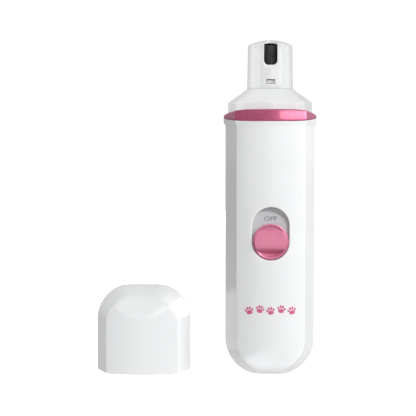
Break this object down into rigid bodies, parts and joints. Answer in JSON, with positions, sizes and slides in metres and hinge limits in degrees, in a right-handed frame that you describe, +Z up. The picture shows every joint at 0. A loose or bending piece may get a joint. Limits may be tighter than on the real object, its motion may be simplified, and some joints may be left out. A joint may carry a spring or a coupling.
{
  "type": "pet nail trimmer",
  "caption": "Hand-held battery pet nail grinder with a spinning abrasive drum in a slotted nose guard, a thumb slide switch and a separate travel cap.",
  "frame": {"origin": "middle of the trimmer's flat base, on the surface that it stands on", "axes": "+Z up along the trimmer's length, towards the drum; the switch faces -Y; +X is to the right as seen from the front; the cap stands at -X"},
  "size_m": [0.101, 0.0459, 0.1519],
  "materials": {
    "handle_white": "glossy moulded plastic",
    "rose_pearl": "pearl lacquer",
    "switch_rose": "satin pearl",
    "plate_silver": "satin silver paint",
    "abrasive": "aluminium oxide grit on cloth",
    "drum_rubber": "matte",
    "steel": "ground",
    "motor_steel": "zinc plated",
    "sintered_bronze": "oiled sintered bronze",
    "contact_nickel": "nickel plated",
    "copper": "bare copper",
    "magnet_black": "sintered ferrite",
    "inner_plastic": "matte",
    "nylon_white": "matte nylon",
    "board_green": "solder mask",
    "cell_jacket": "printed sleeve",
    "wire_red": "PVC sleeve",
    "wire_black": "PVC sleeve",
    "wire_yellow": "PVC sleeve"
  },
  "bodies": {
    "handle": {"front_shell": "handle_white", "rear_shell": "handle_white", "accent_band": "rose_pearl", "head_collar": "handle_white", "spindle_bush": "sintered_bronze", "motor_can": "motor_steel", "motor_end_cap": "nylon_white", "motor_terminals": "contact_nickel", "motor_magnets": "magnet_black", "motor_damper": "drum_rubber", "motor_cradle": "inner_plastic", "switch_plate": "plate_silver", "slide_switch": "inner_plastic", "circuit_board": "board_green", "battery_tray": "inner_plastic", "left_cell": "cell_jacket", "right_cell": "cell_jacket", "lower_battery_spring": "contact_nickel", "upper_battery_spring": "contact_nickel", "bridge_contact": "contact_nickel", "positive_contact": "contact_nickel", "negative_contact": "contact_nickel", "shell_screws": "steel", "supply_wire": "wire_red", "motor_wire": "wire_yellow", "return_wire": "wire_black"},
    "drive": {"spindle": "steel", "drum_flange": "steel", "drum_core": "drum_rubber", "sanding_sleeve": "abrasive", "drum_screw": "steel", "shaft_coupling": "nylon_white", "motor_rotor": "copper", "commutator": "copper", "motor_shaft": "steel"},
    "thumb_switch": {"switch_knob": "switch_rose", "switch_slider": "inner_plastic", "switch_lever": "nylon_white"},
    "guard": {"nose_guard": "handle_white"},
    "latch": {"guard_latch": "handle_white"},
    "battery_door": {"battery_cover": "handle_white"},
    "travel_cap": {"cap_shell": "handle_white"}
  },
  "joints": [
    {"name": "drum_spin", "type": "hinge", "parent": "handle", "child": "drive", "pos_m": [0, 0, 0.14], "axis": [0, 0, 1], "continuous": true},
    {"name": "switch_slide", "type": "slide", "parent": "handle", "child": "thumb_switch", "axis": [0, 0, 1], "range_m": [0, 0.0072]},
    {"name": "guard_pull", "type": "slide", "parent": "handle", "child": "guard", "axis": [0, 0, 1], "range_m": [0, 0.03]},
    {"name": "latch_press", "type": "slide", "parent": "handle", "child": "latch", "axis": [0, 1, 0], "range_m": [0, 0.0008], "stiffness_N_per_m": 400},
    {"name": "cover_pull", "type": "slide", "parent": "handle", "child": "battery_door", "axis": [0, 1, 0], "range_m": [0, 0.03]},
    {"name": "cap_lift", "type": "slide", "parent": "handle", "child": "travel_cap", "axis": [0, 0, 1], "range_m": [0, 0.12]}
  ]
}
